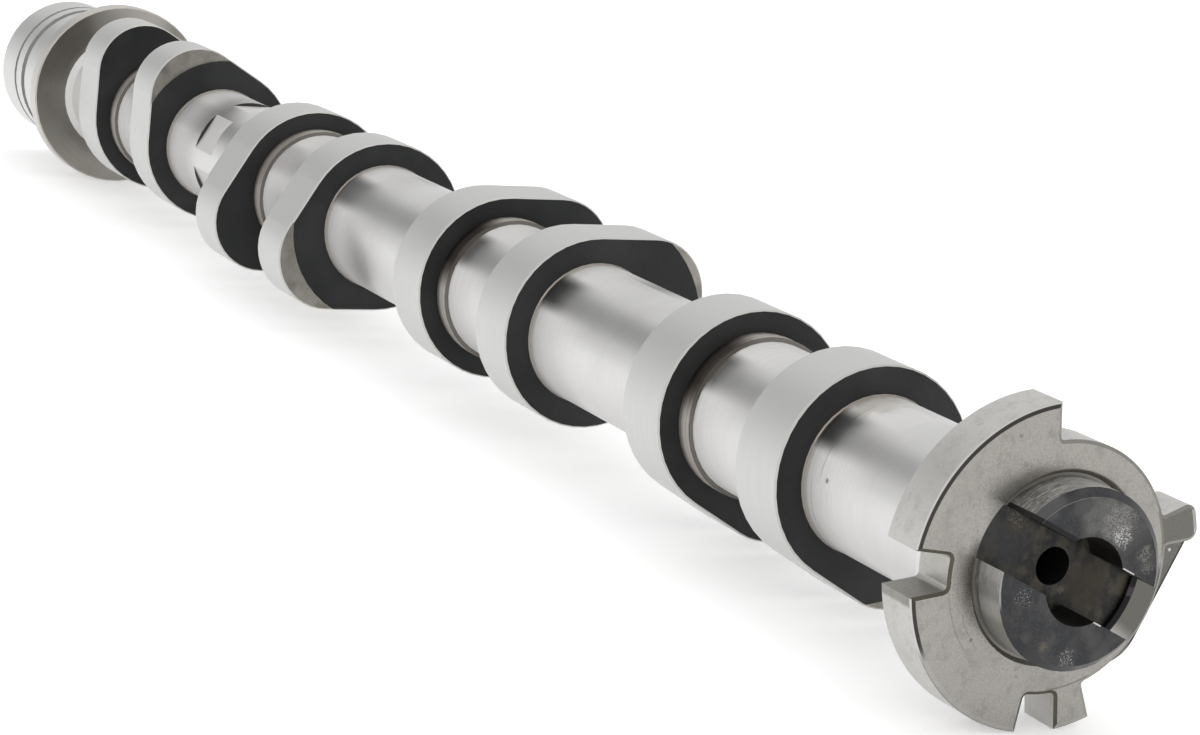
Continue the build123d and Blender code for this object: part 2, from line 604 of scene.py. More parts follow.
@dataclass(frozen=True)
class TurnedSteel:
    """Bare steel with fine lines round the axis, from a lathe or a grinding wheel."""

    name: str
    colour: Colour
    stain: Colour
    roughness: float
    line_pitch: float = 0.12 * MM
    line_depth: float = 0.4e-6
    line_share: float = 0.12
    stain_size: float = 9.0 * MM
    stain_share: float = 0.25
    anisotropy: float = 0.5
    metal: float = 1.0
    marks: tuple[Mark, ...] = ()
    waver: float = 0.8
    smoothest: float = 0.9
    roughest: float = 1.15

    def material(self) -> bpy.types.Material:
        """Makes the material.

        Returns:
            The material.
        """
        s = Shader(self.name)
        place = s.vector(
            s.math("MULTIPLY", s.along, 1.0 / self.line_pitch),
            s.math("MULTIPLY", s.around(), self.waver),
            s.math("MULTIPLY", s.radius(), 1.0 / self.line_pitch),
        )
        lines = s.noise(1.0, 3.0, place)
        clouds = s.noise(1.0 / self.stain_size, 4.0)
        colour = s.blend(s.span(clouds, 0.42, 0.75, 0.0, self.stain_share), self.colour, self.stain)
        colour = s.blend(s.span(lines, 0.25, 0.75, 0.0, self.line_share), colour, self.stain)
        rough = s.span(
            lines, 0.3, 0.7, self.roughness * self.smoothest, self.roughness * self.roughest
        )
        s.bump(lines, self.line_depth)
        s.grain_round(self.anisotropy)
        return self.glossed(s, s.marked(colour, self.marks), rough, lines)

    def glossed(self, s: Shader, colour: Socket, rough: Socket, lines: Socket) -> bpy.types.Material:
        """Sets the gloss.

        Args:
            s: The shader.
            colour: Its colour.
            rough: Its roughness.
            lines: The pattern of its fine lines; not used here.

        Returns:
            The finished material.
        """
        return s.finish(colour, rough, self.metal)


@dataclass(frozen=True)
class RubbedSteel(TurnedSteel):
    """Ground steel, rubbed dull and pale before the first cam and beyond each cam, but for one streak."""

    rubbed: Colour = (0.87, 0.86, 0.84)
    brushed: Colour = (0.50, 0.49, 0.47)
    brush_share: float = 0.30
    rubbed_share: float = 0.86
    rubbed_roughness: float = 0.46
    sizes: ShaftSizes = SIZES
    overlap: float = 0.2 * MM
    full_reach: float = 4.0 * MM
    last_reach: float = 19.0 * MM
    clean_middle: float = 139.0
    clean_half: float = 7.0
    clean_fade: float = 14.0
    faint_station: float = 100.0 * MM
    clear_station: float = 180.0 * MM
    faint_share: float = 0.25

    def glossed(self, s: Shader, colour: Socket, rough: Socket, lines: Socket) -> bpy.types.Material:
        """Sets the gloss, which is duller in the rubbed stretches.

        Args:
            s: The shader.
            colour: Its colour.
            rough: Its roughness.
            lines: The pattern of its fine lines.

        Returns:
            The finished material.
        """
        z = self.sizes
        local = s.math("FLOORED_MODULO", s.math("SUBTRACT", s.along, z.first_cam), z.cylinder_pitch)
        rubbed = s.math("LESS_THAN", s.along, z.first_cam)
        for end in (z.cam_width, z.cam_pitch + z.cam_width):
            beyond = s.math("GREATER_THAN", local, end - self.overlap)
            near = s.span(local, end + self.last_reach, end + self.full_reach)
            rubbed = s.math("MAXIMUM", rubbed, s.math("MULTIPLY", beyond, near))
        clean = s.math(
            "MULTIPLY",
            s.sector(self.clean_middle, self.clean_half, self.clean_fade),
            s.span(s.along, self.faint_station, self.clear_station, self.faint_share, 1.0),
        )
        rubbed = s.math("MULTIPLY", rubbed, s.math("SUBTRACT", 1.0, clean))
        rubbed = s.math("MULTIPLY", rubbed, self.rubbed_share)
        pale = s.blend(s.span(lines, 0.35, 0.70, 0.0, self.brush_share), self.rubbed, self.brushed)
        pale = s.marked(pale, self.marks)
        rough = s.math(
            "ADD",
            s.math("MULTIPLY", rough, s.math("SUBTRACT", 1.0, rubbed)),
            s.math("MULTIPLY", rubbed, self.rubbed_roughness),
        )
        return s.finish(s.blend(rubbed, colour, pale), rough, s.math("SUBTRACT", 1.0, rubbed))


@dataclass(frozen=True)
class CastSkinAndShade:
    """Near-black skin of a casting, with a fine even grain; the flats' end walls wear it as painted shade.
    """

    name: str
    colour: Colour = (0.010, 0.0105, 0.011)
    lighter: Colour = (0.024, 0.025, 0.025)
    roughness: float = 0.5
    grain: float = 0.5 * MM
    grain_depth: float = 8e-6
    clouds_per_metre: float = 70.0
    shine: float = 0.35

    def material(self) -> bpy.types.Material:
        """Makes the material.

        Returns:
            The material.
        """
        s = Shader(self.name)
        grain = s.noise(1.0 / self.grain, 3.0)
        clouds = s.noise(self.clouds_per_metre, 2.0)
        colour = s.blend(s.span(clouds, 0.35, 0.7), self.colour, self.lighter)
        s.bump(grain, self.grain_depth)
        s.surface.inputs["Specular IOR Level"].default_value = self.shine
        rough = s.span(grain, 0.3, 0.7, self.roughness - 0.05, self.roughness + 0.08)
        return s.finish(colour, rough, 0.0)


@dataclass(frozen=True)
class ThreadedBore:
    """Tapped bore: turns of a thread that run in from the end face, with the roots painted dark as shade."""

    name: str
    pitch: float = 1.25 * MM
    depth: float = 0.6 * MM
    crest: Colour = (0.20, 0.20, 0.195)
    # The thread's roots are painted dark as shade between the crests.
    root: Colour = (0.02, 0.02, 0.02)
    roughness: float = 0.35

    def material(self) -> bpy.types.Material:
        """Makes the material.

        Returns:
            The material.
        """
        s = Shader(self.name)
        turns = s.math("DIVIDE", s.around(), math.tau)
        climb = s.math("ADD", s.math("DIVIDE", s.along, self.pitch), turns)
        flank = s.math("MULTIPLY", s.math("PINGPONG", climb, 0.5), 2.0)
        s.bump(flank, self.depth)
        return s.finish(s.blend(s.span(flank, 0.1, 0.9), self.root, self.crest), self.roughness, 1.0)


@dataclass(frozen=True)
class Sintered:
    """Pressed and sintered steel: matt, warm grey, with a fine speckle and small pits."""

    name: str
    colour: Colour = (0.36, 0.345, 0.32)
    darker: Colour = (0.24, 0.23, 0.21)
    roughness: float = 0.4
    speckle: float = 0.35 * MM
    speckle_share: float = 0.4
    marks: tuple[Mark, ...] = ()
    speckle_depth: float = 10e-6
    clouds_per_metre: float = 160.0
    cloud_share: float = 0.3
    mottle: float = 1.8 * MM
    mottle_share: float = 0.6
    pits: float = 1.6 * MM
    pit_share: float = 0.7
    metal: float = 0.75

    def material(self) -> bpy.types.Material:
        """Makes the material.

        Returns:
            The material.
        """
        s = Shader(self.name)
        speckle = s.noise(1.0 / self.speckle, 2.0, rough=0.7)
        clouds = s.noise(self.clouds_per_metre, 3.0)
        mottle = s.noise(1.0 / self.mottle, 4.0, rough=0.65)
        pits = s.noise(1.0 / self.pits, 1.0)
        layers = (
            (speckle, 0.45, 0.75, self.speckle_share),
            (clouds, 0.40, 0.80, self.cloud_share),
            (mottle, 0.46, 0.72, self.mottle_share),
            (pits, 0.74, 0.80, self.pit_share),
        )
        colour = self.colour
        for pattern, low, high, share in layers:
            colour = s.blend(s.span(pattern, low, high, 0.0, share), colour, self.darker)
        s.bump(speckle, self.speckle_depth)
        rough = s.span(speckle, 0.3, 0.7, self.roughness - 0.06, self.roughness + 0.08)
        return s.finish(s.marked(colour, self.marks), rough, self.metal)


@dataclass(frozen=True)
class BluedSteel:
    """Hardened steel with a blue-black oxide skin that is worn through in patches."""

    name: str
    colour: Colour = (0.034, 0.040, 0.050)
    clouded: Colour = (0.085, 0.085, 0.085)
    cloud_size: float = 5.0 * MM
    cloud_share: float = 0.6
    roughness: float = 0.38
    cloud_edge: float = 0.72
    marks: tuple[Mark, ...] = ()
    grain: float = 0.3 * MM
    grain_share: float = 0.35
    grain_depth: float = 4e-6
    metal: float = 0.6

    def material(self) -> bpy.types.Material:
        """Makes the material.

        Returns:
            The material.
        """
        s = Shader(self.name)
        clouds = s.noise(1.0 / self.cloud_size, 4.0)
        grain = s.noise(1.0 / self.grain, 2.0)
        cloudy = s.span(clouds, 0.42, self.cloud_edge, 0.0, self.cloud_share)
        colour = s.blend(cloudy, self.colour, self.clouded)
        colour = s.blend(s.span(grain, 0.45, 0.75, 0.0, self.grain_share), colour, self.clouded)
        rough = s.span(clouds, 0.3, 0.7, self.roughness - 0.05, self.roughness + 0.1)
        s.bump(grain, self.grain_depth)
        return s.finish(s.marked(colour, self.marks), rough, self.metal)


BROWN = (0.30, 0.22, 0.15)
DARK_TONE = (0.05, 0.045, 0.038)
# Pale bare steel where the skin is worn through, also used for painted highlights.
BARE_AND_HIGHLIGHT = (0.60, 0.59, 0.57)
BLACK = (0.008, 0.008, 0.008)

SHAFT_MARKS = (
    Ring(
        (0.20, 0.17, 0.14), 0.75, SIZES.last_cam_end + 0.05 * MM, 0.3 * MM, 0.15 * MM,
        every=SIZES.cylinder_pitch,
    ),
    Ring(BROWN, 0.30, SIZES.last_cam_end + 0.6 * MM, 0.5 * MM, 0.5 * MM, every=SIZES.cylinder_pitch),
    Ring(DARK_TONE, 0.35, SIZES.last_cam_end + 3.6 * MM, 0.10 * MM, 0.10 * MM, 119.0, 7.0),
    Ring(DARK_TONE, 0.35, SIZES.last_cam_end + 4.1 * MM, 0.10 * MM, 0.10 * MM, 163.0, 6.0),
    Ring(DARK_TONE, 0.30, SIZES.last_cam_end + 2.9 * MM, 0.12 * MM, 0.10 * MM, 223.0, 10.0),
    Ring(DARK_TONE, 0.25, SIZES.last_cam_end + 2.2 * MM, 0.12 * MM, 0.10 * MM, 200.0, 16.0),
    Spot(BROWN, 0.30, on_shaft(SIZES.last_cam_end + 3.0 * MM, 105.0, SIZES.shaft / 2), 5.0 * MM),
    Spot(DARK_TONE, 0.7, on_shaft(SIZES.last_cam_end + 5.8 * MM, 174.6, SIZES.shaft / 2), 0.5 * MM, 0.3),
)

FLANGE_MARKS = (
    Arc((0.12, 0.11, 0.095), 0.45, 14.0 * MM, 20.0 * MM, 1.0 * MM, 135.0, 22.0, 20.0),
    Arc((0.55, 0.53, 0.50), 0.55, 15.5 * MM, 20.0 * MM, 2.5 * MM, 88.0, 16.0, 20.0),
    Arc((0.45, 0.435, 0.40), 0.25, 15.5 * MM, 20.0 * MM, 2.0 * MM, 250.0, 30.0, 30.0),
)

NECK_MARKS = tuple(
    Ring(colour, share, SIZES.neck_end - back * MM, width * MM, soft * MM, every=SIZES.cylinder_pitch)
    for colour, share, back, width, soft in (
        (DARK_TONE, 0.75, 0.0, 0.15, 0.12),
        (DARK_TONE, 0.40, 1.0, 0.08, 0.08),
        (DARK_TONE, 0.40, 1.9, 0.08, 0.08),
        ((0.08, 0.06, 0.05), 0.7, 2.9, 0.6, 0.8),
    )
)

# A painted shadow: a black line along the slot's upper edge, laid on the hub's face, its edge and its side.
SLOT_SHADOW_LINE = Straight(BLACK, 0.95, 90.0 + SIZES.slot_angle, 3.98 * MM, 0.58 * MM, -12.5 * MM, -4.1 * MM)

HUB_FACE_MARKS = (
    Arc((0.12, 0.12, 0.115), 0.40, 6.8 * MM, 10.2 * MM, 1.6 * MM, 66.0, 22.0, 22.0),
    Spot((0.22, 0.215, 0.20), 0.50, on_shaft(SIZES.hub_end, 78.0, 8.6 * MM), 3.6 * MM, 0.9, 0.14 * MM, 0.47),
    Spot((0.40, 0.39, 0.37), 0.45, on_shaft(SIZES.hub_end, 60.0, 8.6 * MM), 3.4 * MM, 0.6, 0.16 * MM, 0.50),
    Spot(BARE_AND_HIGHLIGHT, 0.68, on_shaft(SIZES.hub_end, 50.0, 7.4 * MM), 1.9 * MM, 0.5, 0.26 * MM, 0.50),
    Spot(BARE_AND_HIGHLIGHT, 0.30, on_shaft(SIZES.hub_end, 190.0, 9.0 * MM), 1.8 * MM, 0.7, 0.22 * MM, 0.58),
    Spot((0.24, 0.23, 0.20), 0.50, on_shaft(SIZES.hub_end, 21.0, 9.1 * MM), 1.5 * MM, 1.0, 0.30 * MM, 0.46),
    Spot((0.24, 0.23, 0.20), 0.45, on_shaft(SIZES.hub_end, 9.0, 9.3 * MM), 1.0 * MM, 1.0, 0.30 * MM, 0.46),
    Spot((0.16, 0.13, 0.10), 0.5, on_shaft(SIZES.hub_end, 239.4, 9.4 * MM), 0.8 * MM, 0.8),
    Spot(BARE_AND_HIGHLIGHT, 0.45, on_shaft(SIZES.hub_end, 264.0, 9.8 * MM), 1.5 * MM, 0.8, 0.22 * MM, 0.54),
    SLOT_SHADOW_LINE,
    # Painted highlights along the two edges of the slot.
    Straight(BARE_AND_HIGHLIGHT, 0.95, 90.0 + SIZES.slot_angle, 3.78 * MM, 0.14 * MM, 4.4 * MM, 6.4 * MM),
    Straight(BARE_AND_HIGHLIGHT, 0.95, 90.0 + SIZES.slot_angle, -3.78 * MM, 0.14 * MM, 2.6 * MM, 5.6 * MM),
    Arc(BARE_AND_HIGHLIGHT, 0.18, 10.76 * MM, 10.88 * MM, 0.05 * MM, 112.0, 12.0, 16.0),
)

HUB_EDGE_MARKS = (
    Arc(BARE_AND_HIGHLIGHT, 0.5, 11.70 * MM, 12.0 * MM, 0.06 * MM, 181.0, 10.0, 8.0),
    Arc((0.14, 0.14, 0.14), 0.5, 10.7 * MM, 12.0 * MM, 0.1 * MM, 128.0, 10.0, 10.0),
    SLOT_SHADOW_LINE,
)

# Where the hub's whole side lies along the axis: station, width and soft edge of a ring.
WHOLE_SIDE = (SIZES.hub_end - 3.0 * MM, 8.0 * MM, 0.1 * MM)

HUB_SIDE_MARKS = (
    Ring(DARK_TONE, 0.6, SIZES.wheel_front - 0.1 * MM, 0.4 * MM, 0.3 * MM),
    Ring((0.22, 0.215, 0.20), 0.65, *WHOLE_SIDE, 228.0, 18.0),
    Ring((0.20, 0.195, 0.18), 0.55, *WHOLE_SIDE, 187.0, 1.0),
    Ring((0.25, 0.24, 0.225), 0.50, *WHOLE_SIDE, 128.0, 5.0),
    Streaks(DARK_TONE, 0.65, 0.22 * MM, 4.0, 0.49, 121.0, 18.0, 16.0),
    Streaks(BARE_AND_HIGHLIGHT, 0.75, 0.30 * MM, 12.0, 0.60, 114.0, 16.0, 10.0),
    Streaks(BARE_AND_HIGHLIGHT, 0.60, 0.24 * MM, 5.0, 0.54, 176.0, 9.0, 6.0),
    SLOT_SHADOW_LINE,
)

SLOT_MARKS = (
    Spot((0.038, 0.040, 0.045), 0.6, on_shaft(SIZES.slot_floor, 154.9, 9.5 * MM), 6.0 * MM, 0.6),
    Spot((0.065, 0.050, 0.030), 0.5, on_shaft(SIZES.slot_floor, 140.0, 8.0 * MM), 1.6 * MM, 0.9),
    Spot((0.034, 0.027, 0.018), 0.7, on_shaft(SIZES.slot_floor, 334.9, 6.0 * MM), 5.0 * MM, 0.7),
    Spot((0.13, 0.12, 0.11), 0.5, on_shaft(SIZES.slot_floor, 300.0, 3.6 * MM), 0.7 * MM, 0.9),
    Spot((0.17, 0.16, 0.12), 0.6, on_shaft(SIZES.slot_floor, 133.0, 9.2 * MM), 2.2 * MM, 1.0, 0.35 * MM),
)

# A line across the feet of the teeth, at their root circle: inner edge, outer edge and softness.
ROOT_BAND = (15.88 * MM, 16.02 * MM, 0.08 * MM)
ROOT_LINE = (0.10, 0.09, 0.08)
OLIVE = (0.085, 0.078, 0.055)
NOTCHES = (180.5, 270.4)
WEB_SIDE = 335.6

# A painted dark reflection on the teeth's front chamfer and on the face just inside it, in one sector about
# the axis: its colour, the sector's middle and half its sweep in degrees.
PAINTED_DARK_REFLECTION = (0.034, 0.030, 0.026)
REFLECTION_MIDDLE = 151.0
REFLECTION_HALF = 55.0

WHEEL_FACE_MARKS = (
    # Painted shadow and reflection of the hub on the face right beside it, in two sectors.
    Arc((0.075, 0.070, 0.062), 0.85, 12.0 * MM, 12.8 * MM, 1.7 * MM, 180.0, 9.0, 13.0),
    Arc((0.10, 0.095, 0.085), 0.35, 12.0 * MM, 12.9 * MM, 1.8 * MM, 127.0, 9.0, 16.0),
    Arc((0.13, 0.125, 0.11), 1.0, 12.0 * MM, 17.0 * MM, 0.2 * MM, 341.0, 13.0, 9.0),
    Arc((0.05, 0.048, 0.042), 0.7, 16.1 * MM, 17.0 * MM, 0.15 * MM, 338.0, 16.0, 5.0),
    Arc((0.13, 0.125, 0.112), 0.90, 16.3 * MM, 22.0 * MM, 0.5 * MM, 15.5, 9.0, 3.0),
    # Painted dark reflection on the face just inside the teeth's front chamfer.
    Arc(PAINTED_DARK_REFLECTION, 0.9, 20.78 * MM, 21.0 * MM, 0.03 * MM, REFLECTION_MIDDLE, REFLECTION_HALF - 4.0, 8.0),
    Arc(ROOT_LINE, 0.55, *ROOT_BAND, 285.0, 10.0, 3.0),
    Arc(ROOT_LINE, 0.45, *ROOT_BAND, 15.0, 9.0, 3.0),
    Arc(ROOT_LINE, 0.30, *ROOT_BAND, 205.0, 12.0, 6.0),
    Arc((0.12, 0.115, 0.11), 0.35, 14.44 * MM, 14.52 * MM, 0.05 * MM, 212.0, 8.0, 5.0),
    Arc((0.13, 0.115, 0.09), 0.6, 12.70 * MM, 12.85 * MM, 0.08 * MM, 75.0, 26.0, 12.0),
    Spot(ROOT_LINE, 0.7, on_shaft(SIZES.wheel_front, 217.5, 14.5 * MM), 0.35 * MM),
    Spot(ROOT_LINE, 0.5, on_shaft(SIZES.wheel_front, 116.0, 19.0 * MM), 0.35 * MM),
)

# On the teeth's front chamfer: a darker line along the outer edge all round, and in the sector of the
# painted dark reflection the chamfer painted dark with a painted highlight along its outer part.
TOOTH_EDGE_MARKS = (
    Arc((0.20, 0.195, 0.185), 0.6, 21.40 * MM, 21.7 * MM, 0.05 * MM),
    Arc(PAINTED_DARK_REFLECTION, 0.95, 20.6 * MM, 21.24 * MM, 0.05 * MM, REFLECTION_MIDDLE, REFLECTION_HALF, 8.0),
    Arc((0.62, 0.61, 0.59), 0.9, 21.26 * MM, 21.8 * MM, 0.04 * MM, REFLECTION_MIDDLE, REFLECTION_HALF, 8.0),
)

WHEEL_RIM_MARKS = (
    Arc((0.16, 0.155, 0.125), 0.65, 16.7 * MM, 21.6 * MM, 0.3 * MM, 188.0, 3.0, 1.5),
    Arc((0.40, 0.395, 0.35), 0.5, 15.0 * MM, 16.7 * MM, 0.2 * MM, NOTCHES[0], 9.0, 2.0),
)

GAP_EDGE_MARKS = tuple(
    Arc(OLIVE, 0.95, 15.0 * MM, 22.0 * MM, 0.1 * MM, notch, 10.0, 2.0) for notch in NOTCHES
)

BORE_MARKS = (
    # Painted shade on the bore's wall beyond the slot's end, with a painted purplish highlight in it.
    Arc((0.020, 0.018, 0.020), 1.0, 11.0 * MM, 14.0 * MM, 0.1 * MM, 335.0, 26.0, 6.0),
    Spot((0.11, 0.09, 0.11), 0.7, on_shaft(SIZES.wheel_front - 0.3 * MM, 344.0, 12.4 * MM), 0.9 * MM, 0.9),
)

WEB_MARKS = (
    # Painted shade along the web's outer edge where a chamfer would be, and a painted highlight dot near the
    # tooth.
    Straight((0.035, 0.033, 0.03), 0.9, WEB_SIDE, 17.3 * MM, 0.5 * MM),
    Spot(BARE_AND_HIGHLIGHT, 1.0, on_shaft(SIZES.wheel_front - SIZES.web_setback, 5.0, 18.04 * MM), 0.3 * MM, 0.1),
)

FINISHES = {
    Zone.CAM_LAND: TurnedSteel(
        "ground_cam", (0.63, 0.63, 0.62), (0.55, 0.55, 0.54), 0.48, stain_share=0.15, anisotropy=0.2
    ),
    Zone.CAM_SIDE: CastSkinAndShade("cast_skin"),
    Zone.CAM_EDGE: TurnedSteel("broken_edge", (0.54, 0.535, 0.515), (0.46, 0.45, 0.43), 0.45),
    Zone.SKIMMED: TurnedSteel(
        "skimmed_nose", (0.35, 0.335, 0.30), (0.14, 0.13, 0.115), 0.42,
        line_share=0.3, stain_size=4.0 * MM, stain_share=0.7,
    ),
    Zone.JOURNAL: RubbedSteel(
        "ground_journal", (0.67, 0.665, 0.66), (0.52, 0.505, 0.49), 0.31, marks=SHAFT_MARKS
    ),
    Zone.NECK: RubbedSteel(
        "tinted_neck", (0.40, 0.35, 0.31), (0.24, 0.19, 0.15), 0.36, marks=NECK_MARKS,
        rubbed=(0.68, 0.64, 0.59), brushed=(0.40, 0.36, 0.32), clean_half=12.0, clean_fade=30.0,
    ),
    Zone.HEXAGON: TurnedSteel("milled_flats", (0.70, 0.69, 0.68), (0.50, 0.49, 0.48), 0.5, metal=0.4),
    # The flats' end walls are painted near black as their shade.
    Zone.FLAT_WALL: CastSkinAndShade("flat_end_wall", (0.03, 0.03, 0.03), (0.06, 0.06, 0.058), 0.5),
    Zone.FLANGE: TurnedSteel(
        "dark_flange", (0.29, 0.275, 0.25), (0.17, 0.16, 0.14), 0.42,
        line_share=0.3, stain_share=0.5, marks=FLANGE_MARKS,
    ),
    Zone.FLANGE_EDGE: TurnedSteel("flange_edge", (0.50, 0.475, 0.43), (0.30, 0.28, 0.25), 0.4),
    Zone.FLANGE_RIM: TurnedSteel("flange_rim", (0.60, 0.585, 0.56), (0.46, 0.44, 0.41), 0.4),
    Zone.END_JOURNAL: TurnedSteel("ground_end", (0.62, 0.62, 0.61), (0.50, 0.50, 0.49), 0.36),
    Zone.GROOVE: TurnedSteel("groove", (0.56, 0.56, 0.55), (0.36, 0.36, 0.35), 0.45, metal=0.6),
    Zone.TIMING_FACE: TurnedSteel(
        "faced_end", (0.58, 0.57, 0.56), (0.42, 0.41, 0.39), 0.36, line_share=0.3
    ),
    Zone.BOLT_BORE: ThreadedBore("tapped_bore"),
    Zone.OIL_HOLE: CastSkinAndShade("oil_hole", (0.006, 0.006, 0.006), (0.012, 0.012, 0.011), 0.5),
    Zone.HUB_SIDE: TurnedSteel(
        "turned_hub", (0.56, 0.545, 0.52), (0.16, 0.155, 0.145), 0.46, 0.16 * MM,
        line_share=0.45, metal=0.45, marks=HUB_SIDE_MARKS,
    ),
    Zone.HUB_EDGE: BluedSteel(
        "blued_edge", (0.028, 0.029, 0.033), (0.075, 0.074, 0.073), 3.0 * MM, marks=HUB_EDGE_MARKS
    ),
    Zone.HUB_FACE: BluedSteel(
        "blued_face", (0.029, 0.030, 0.033), (0.088, 0.087, 0.084), 3.2 * MM, 0.70, marks=HUB_FACE_MARKS
    ),
    Zone.SLOT: BluedSteel(
        "slot_skin", (0.014, 0.0145, 0.015), (0.075, 0.066, 0.050), 2.6 * MM, 0.9, 0.42, 0.60, SLOT_MARKS
    ),
    Zone.RECESS: BluedSteel(
        "recess_wall", (0.016, 0.015, 0.014), (0.035, 0.033, 0.03), 3.0 * MM, 0.5, 0.42
    ),
    Zone.SEAT_END: TurnedSteel("seat_end", (0.30, 0.285, 0.26), (0.16, 0.15, 0.13), 0.42, metal=0.5),
    Zone.WHEEL_FACE: Sintered("sintered_face", roughness=0.27, marks=WHEEL_FACE_MARKS),
    Zone.WHEEL_RIM: Sintered(
        "sintered_rim", (0.58, 0.565, 0.54), (0.42, 0.41, 0.39), 0.42, 0.3 * MM, 0.3, WHEEL_RIM_MARKS
    ),
    Zone.TOOTH_EDGE: Sintered(
        "tooth_edge", (0.42, 0.405, 0.38), (0.32, 0.31, 0.29), 0.4, marks=TOOTH_EDGE_MARKS
    ),
    Zone.GAP_EDGE: Sintered("gap_edge", (0.27, 0.26, 0.24), (0.2, 0.19, 0.17), 0.4, marks=GAP_EDGE_MARKS),
    # The web's face is the same sintered steel, painted darker than the wheel's face as shade for lying set
    # back.
    Zone.SHADED_WEB: Sintered("web_face", (0.17, 0.165, 0.155), (0.12, 0.115, 0.11), 0.42, marks=WEB_MARKS),
    Zone.WHEEL_BORE: Sintered("wheel_bore", (0.30, 0.285, 0.26), (0.2, 0.19, 0.17), 0.4, marks=BORE_MARKS),
}


@dataclass
class Piece:
    """A CAD node that is dressed face by face, each face with the finish of its zone."""

    node: str = ""
    sizes: ShaftSizes = SIZES
    facing: float = 0.98
    hair: float = 0.02 * MM

    def zone_of(self, centre: Vector, normal: Vector) -> Zone:
        """Finds the zone of a face.

        Args:
            centre: The face's centre.
            normal: The way it faces.

        Returns:
            Its zone.
        """
        raise NotImplementedError

    def dress(self, node: bpy.types.Object, shades: dict[Zone, bpy.types.Material]) -> None:
        """Sets the material of each face of the node and leaves its shape alone.

        Args:
            node: The CAD node.
            shades: The materials by zone.
        """
        mesh = node.data
        zones = [self.zone_of(face.center, face.normal) for face in mesh.polygons]
        worn = sorted(set(zones), key=lambda zone: zone.value)
        mesh.materials.clear()
        for zone in worn:
            mesh.materials.append(shades[zone])
        for face, zone in zip(mesh.polygons, zones):
            face.material_index = worn.index(zone)
        for zone in worn:
            log.info("%s: %d faces of %s", node.name, zones.count(zone), zone.value)


@dataclass
class Camshaft(Piece):
    """The shaft's own node."""

    node: str = "camshaft"
    outward_slope: float = 0.05
    rim_slope: float = 0.1
    wall_slope: float = 0.5
    slack: float = 0.1 * MM
    bore_slack: float = 1.0 * MM
    land_share: float = 0.9
    hub_share: float = 0.97

    def cam_zone(self, start: float, x: float, reach: float, endwise: float) -> Zone | None:
        """Finds the zone of a face on one cam.

        Args:
            start: Where the cam begins.
            x: The face's station.
            reach: Its distance from the axis.
            endwise: How much it faces along the axis, from 0 to 1.

        Returns:
            The zone, or None if the face is on the bar beside the cam.
        """
        z = self.sizes
        inside = start - self.hair < x < start + z.cam_width + self.hair
        if not inside or reach < z.neck / 2 - self.slack:
            return None
        if endwise < self.outward_slope:
            return Zone.CAM_LAND if reach > z.cam_base / 2 * self.land_share else None
        if endwise < self.facing:
            return Zone.CAM_EDGE
        depth = min(x - start, start + z.cam_width - x)
        return Zone.SKIMMED if depth > z.skim_depth / 2 else Zone.CAM_SIDE

    def zone_of(self, centre: Vector, normal: Vector) -> Zone:
        """Finds the zone of a face of the shaft.

        Args:
            centre: The face's centre.
            normal: The way it faces.

        Returns:
            Its zone.
        """
        z = self.sizes
        x, reach, endwise = centre.x, math.hypot(centre.y, centre.z), abs(normal.x)
        outward = centre.y * normal.y + centre.z * normal.z > 0
        if x > z.slot_floor - self.hair:
            return self.drive_end_zone(x, reach, endwise, outward)
        if not outward and endwise < self.facing and reach < z.bolt_bore / 2 + self.bore_slack:
            return Zone.BOLT_BORE if x < 0 else Zone.OIL_HOLE
        if reach < z.bolt_bore / 2 and z.last_cam_end < x:
            return Zone.OIL_HOLE
        for start in z.cam_starts:
            zone = self.cam_zone(start, x, reach, endwise)
            if zone:
                return zone
        if x < -z.end_journal_length + self.hair:
            return Zone.TIMING_FACE
        if x < -self.hair:
            return Zone.END_JOURNAL if reach > z.end_journal / 2 - 2 * self.slack else Zone.GROOVE
        if x < z.flange_thickness + self.hair:
            if endwise < self.rim_slope and reach > z.flange / 2 - z.skim_depth:
                return Zone.FLANGE_RIM
            return Zone.FLANGE_EDGE if self.rim_slope < endwise < self.facing else Zone.FLANGE
        if reach > z.journal / 2 + self.slack and self.on_neck(x):
            return Zone.NECK
        if abs(x - z.spanner_middle) < z.spanner_length / 2 + self.hair and reach < z.shaft / 2 - self.hair:
            return Zone.FLAT_WALL if endwise > self.wall_slope else Zone.HEXAGON
        return Zone.JOURNAL

    def on_neck(self, x: float) -> bool:
        """Tells whether a station lies on a neck, just beyond the first cam of a pair."""
        ends = [start + self.sizes.cam_width for start in self.sizes.cam_starts[::2]]
        return any(end < x < end + self.sizes.neck_length + self.hair for end in ends)

    def drive_end_zone(self, x: float, reach: float, endwise: float, outward: bool) -> Zone:
        """Finds the zone of a face beyond the slot's floor.

        Args:
            x: The face's station.
            reach: Its distance from the axis.
            endwise: How much it faces along the axis, from 0 to 1.
            outward: Whether it faces away from the axis.

        Returns:
            Its zone.
        """
        z = self.sizes
        if endwise > self.facing and x > z.hub_end - self.hair:
            return Zone.HUB_FACE
        if endwise > self.facing:
            return Zone.SLOT if x < z.slot_floor + self.hair else Zone.SEAT_END
        if endwise > self.wall_slope:
            return Zone.HUB_EDGE
        if outward and reach > z.hub / 2 * self.hub_share:
            return Zone.HUB_SIDE
        return Zone.RECESS


